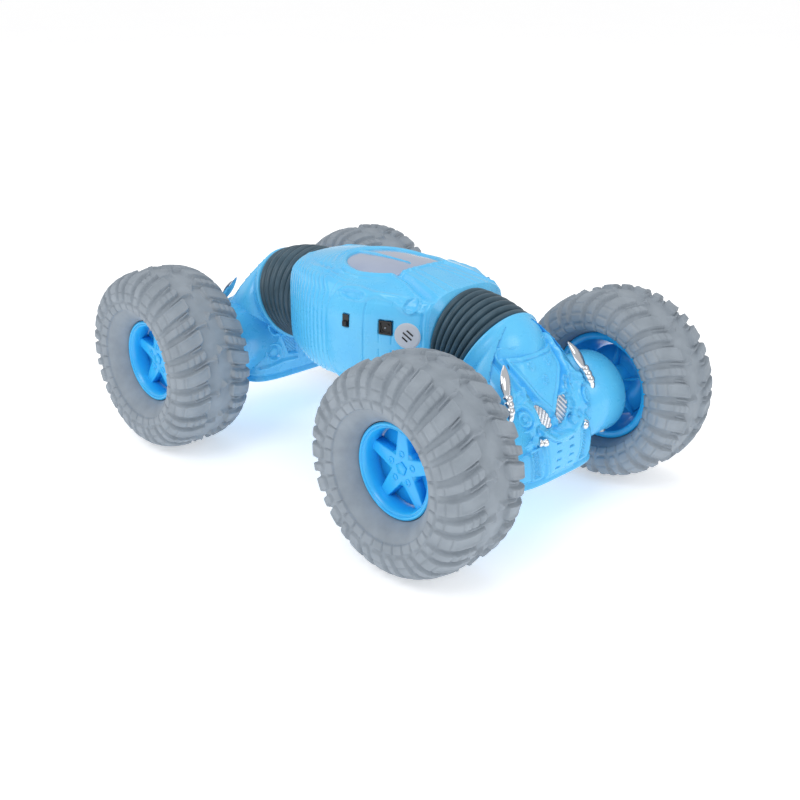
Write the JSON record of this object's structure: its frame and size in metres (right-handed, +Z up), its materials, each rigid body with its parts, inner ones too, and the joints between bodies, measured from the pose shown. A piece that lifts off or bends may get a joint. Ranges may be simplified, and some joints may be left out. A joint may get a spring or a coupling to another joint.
{
  "type": "radio-controlled stunt car",
  "caption": "Double-sided twisting stunt car: a barrel body joined by ribbed bellows to front and rear axle modules with balloon tyres on spoked rims.",
  "frame": {"origin": "on the ground plane, midway between the axles and between the wheels", "axes": "+X towards the front module, +Y to the left of the car, +Z up"},
  "size_m": [0.2608, 0.1764, 0.101],
  "materials": {
    "body_blue": "moulded sky-blue ABS, glossy",
    "rim_blue": "moulded sky-blue ABS, glossy",
    "tyre_grey": "soft grey moulded rubber, matte",
    "bellows_rubber": "dark slate rubber, satin",
    "window_tint": "tinted clear plastic over a grey lavender print",
    "black_plastic": "moulded black plastic, satin",
    "label_film": "pale printed film",
    "chrome_trim": "vacuum-plated plastic, mirror bright",
    "silver_mesh": "silver hatched foil",
    "steel": "zinc-plated, fine drawn",
    "grey_nylon": "natural moulded nylon",
    "battery_wrap": "heat-shrunk film",
    "board_green": "solder mask over glass laminate"
  },
  "bodies": {
    "car_body": {"body_shell_upper": "body_blue", "body_shell_lower": "body_blue", "window_top": "window_tint", "window_bottom": "window_tint", "battery_pack": "battery_wrap", "circuit_board": "board_green", "switch_housing": "black_plastic", "charge_socket": "black_plastic", "label_disc": "label_film", "body_screws": "steel", "bellows_front": "bellows_rubber", "bellows_rear": "bellows_rubber", "swivel_bearing_front": "grey_nylon", "swivel_bearing_rear": "grey_nylon", "twist_motor_front": "steel", "twist_motor_rear": "steel"},
    "power_switch": {"switch_knob": "black_plastic"},
    "front_module": {"front_shell_upper": "body_blue", "front_shell_lower": "body_blue", "front_swivel_tube": "grey_nylon", "front_pipes": "chrome_trim", "front_mesh_inserts": "silver_mesh", "front_screws": "steel", "front_drive_motors": "steel", "front_gearbox": "grey_nylon"},
    "twist_pinion_front": {"twist_pinion_front": "grey_nylon"},
    "front_left_wheel": {"front_left_tyre": "tyre_grey", "front_left_rim": "rim_blue", "front_left_hub_cap": "rim_blue", "front_left_shaft": "steel"},
    "front_left_idler": {"front_left_idler": "grey_nylon"},
    "front_left_pinion": {"front_left_pinion": "grey_nylon"},
    "front_right_wheel": {"front_right_tyre": "tyre_grey", "front_right_rim": "rim_blue", "front_right_hub_cap": "rim_blue", "front_right_shaft": "steel"},
    "front_right_idler": {"front_right_idler": "grey_nylon"},
    "front_right_pinion": {"front_right_pinion": "grey_nylon"},
    "rear_module": {"rear_shell_upper": "body_blue", "rear_shell_lower": "body_blue", "rear_swivel_tube": "grey_nylon", "rear_pipes": "chrome_trim", "rear_mesh_inserts": "silver_mesh", "rear_screws": "steel", "rear_drive_motors": "steel", "rear_gearbox": "grey_nylon"},
    "twist_pinion_rear": {"twist_pinion_rear": "grey_nylon"},
    "rear_left_wheel": {"rear_left_tyre": "tyre_grey", "rear_left_rim": "rim_blue", "rear_left_hub_cap": "rim_blue", "rear_left_shaft": "steel"},
    "rear_left_idler": {"rear_left_idler": "grey_nylon"},
    "rear_left_pinion": {"rear_left_pinion": "grey_nylon"},
    "rear_right_wheel": {"rear_right_tyre": "tyre_grey", "rear_right_rim": "rim_blue", "rear_right_hub_cap": "rim_blue", "rear_right_shaft": "steel"},
    "rear_right_idler": {"rear_right_idler": "grey_nylon"},
    "rear_right_pinion": {"rear_right_pinion": "grey_nylon"}
  },
  "joints": [
    {"name": "power_switch_slide", "type": "slide", "parent": "car_body", "child": "power_switch", "axis": [0, 0, 1], "range_m": [0, 0.0028]},
    {"name": "front_twist", "type": "hinge", "parent": "car_body", "child": "front_module", "pos_m": [0.059, 0, 0.07], "axis": [0.9781, 0, -0.2079], "range_deg": [0, 180], "deforming": ["bellows_front"]},
    {"name": "twist_pinion_front_spin", "type": "hinge", "parent": "car_body", "child": "twist_pinion_front", "pos_m": [0.059, 0.01162, 0.07], "axis": [0.9781, 0, -0.2079], "range_deg": [-650, 5]},
    {"name": "front_left_spin", "type": "hinge", "parent": "front_module", "child": "front_left_wheel", "pos_m": [0.0854, 0.06665, 0.045], "axis": [0, 1, 0], "continuous": true},
    {"name": "front_left_idler_spin", "type": "hinge", "parent": "front_module", "child": "front_left_idler", "pos_m": [0.08434, 0.02, 0.05707], "axis": [0, 1, 0], "continuous": true},
    {"name": "front_left_pinion_spin", "type": "hinge", "parent": "front_module", "child": "front_left_pinion", "pos_m": [0.08233, 0.02, 0.06852], "axis": [0, 1, 0], "continuous": true},
    {"name": "front_right_spin", "type": "hinge", "parent": "front_module", "child": "front_right_wheel", "pos_m": [0.0854, -0.06665, 0.045], "axis": [0, 1, 0], "continuous": true},
    {"name": "front_right_idler_spin", "type": "hinge", "parent": "front_module", "child": "front_right_idler", "pos_m": [0.08434, -0.02, 0.05707], "axis": [0, 1, 0], "continuous": true},
    {"name": "front_right_pinion_spin", "type": "hinge", "parent": "front_module", "child": "front_right_pinion", "pos_m": [0.08233, -0.02, 0.06852], "axis": [0, 1, 0], "continuous": true},
    {"name": "rear_twist", "type": "hinge", "parent": "car_body", "child": "rear_module", "pos_m": [-0.059, 0, 0.07], "axis": [-0.9781, 0, -0.2079], "range_deg": [0, 180], "deforming": ["bellows_rear"]},
    {"name": "twist_pinion_rear_spin", "type": "hinge", "parent": "car_body", "child": "twist_pinion_rear", "pos_m": [-0.059, -0.01162, 0.07], "axis": [-0.9781, 0, -0.2079], "range_deg": [-650, 5]},
    {"name": "rear_left_spin", "type": "hinge", "parent": "rear_module", "child": "rear_left_wheel", "pos_m": [-0.0854, 0.06665, 0.045], "axis": [0, 1, 0], "continuous": true},
    {"name": "rear_left_idler_spin", "type": "hinge", "parent": "rear_module", "child": "rear_left_idler", "pos_m": [-0.08434, 0.02, 0.05707], "axis": [0, 1, 0], "continuous": true},
    {"name": "rear_left_pinion_spin", "type": "hinge", "parent": "rear_module", "child": "rear_left_pinion", "pos_m": [-0.08233, 0.02, 0.06852], "axis": [0, 1, 0], "continuous": true},
    {"name": "rear_right_spin", "type": "hinge", "parent": "rear_module", "child": "rear_right_wheel", "pos_m": [-0.0854, -0.06665, 0.045], "axis": [0, 1, 0], "continuous": true},
    {"name": "rear_right_idler_spin", "type": "hinge", "parent": "rear_module", "child": "rear_right_idler", "pos_m": [-0.08434, -0.02, 0.05707], "axis": [0, 1, 0], "continuous": true},
    {"name": "rear_right_pinion_spin", "type": "hinge", "parent": "rear_module", "child": "rear_right_pinion", "pos_m": [-0.08233, -0.02, 0.06852], "axis": [0, 1, 0], "continuous": true}
  ],
  "couplings": [
    {"joint": "twist_pinion_front_spin", "follows": "front_twist", "ratio": -3.6},
    {"joint": "front_left_idler_spin", "follows": "front_left_spin", "ratio": -3},
    {"joint": "front_left_pinion_spin", "follows": "front_left_spin", "ratio": 10.8},
    {"joint": "front_right_idler_spin", "follows": "front_right_spin", "ratio": -3},
    {"joint": "front_right_pinion_spin", "follows": "front_right_spin", "ratio": 10.8},
    {"joint": "twist_pinion_rear_spin", "follows": "rear_twist", "ratio": -3.6},
    {"joint": "rear_left_idler_spin", "follows": "rear_left_spin", "ratio": -3},
    {"joint": "rear_left_pinion_spin", "follows": "rear_left_spin", "ratio": 10.8},
    {"joint": "rear_right_idler_spin", "follows": "rear_right_spin", "ratio": -3},
    {"joint": "rear_right_pinion_spin", "follows": "rear_right_spin", "ratio": 10.8}
  ]
}
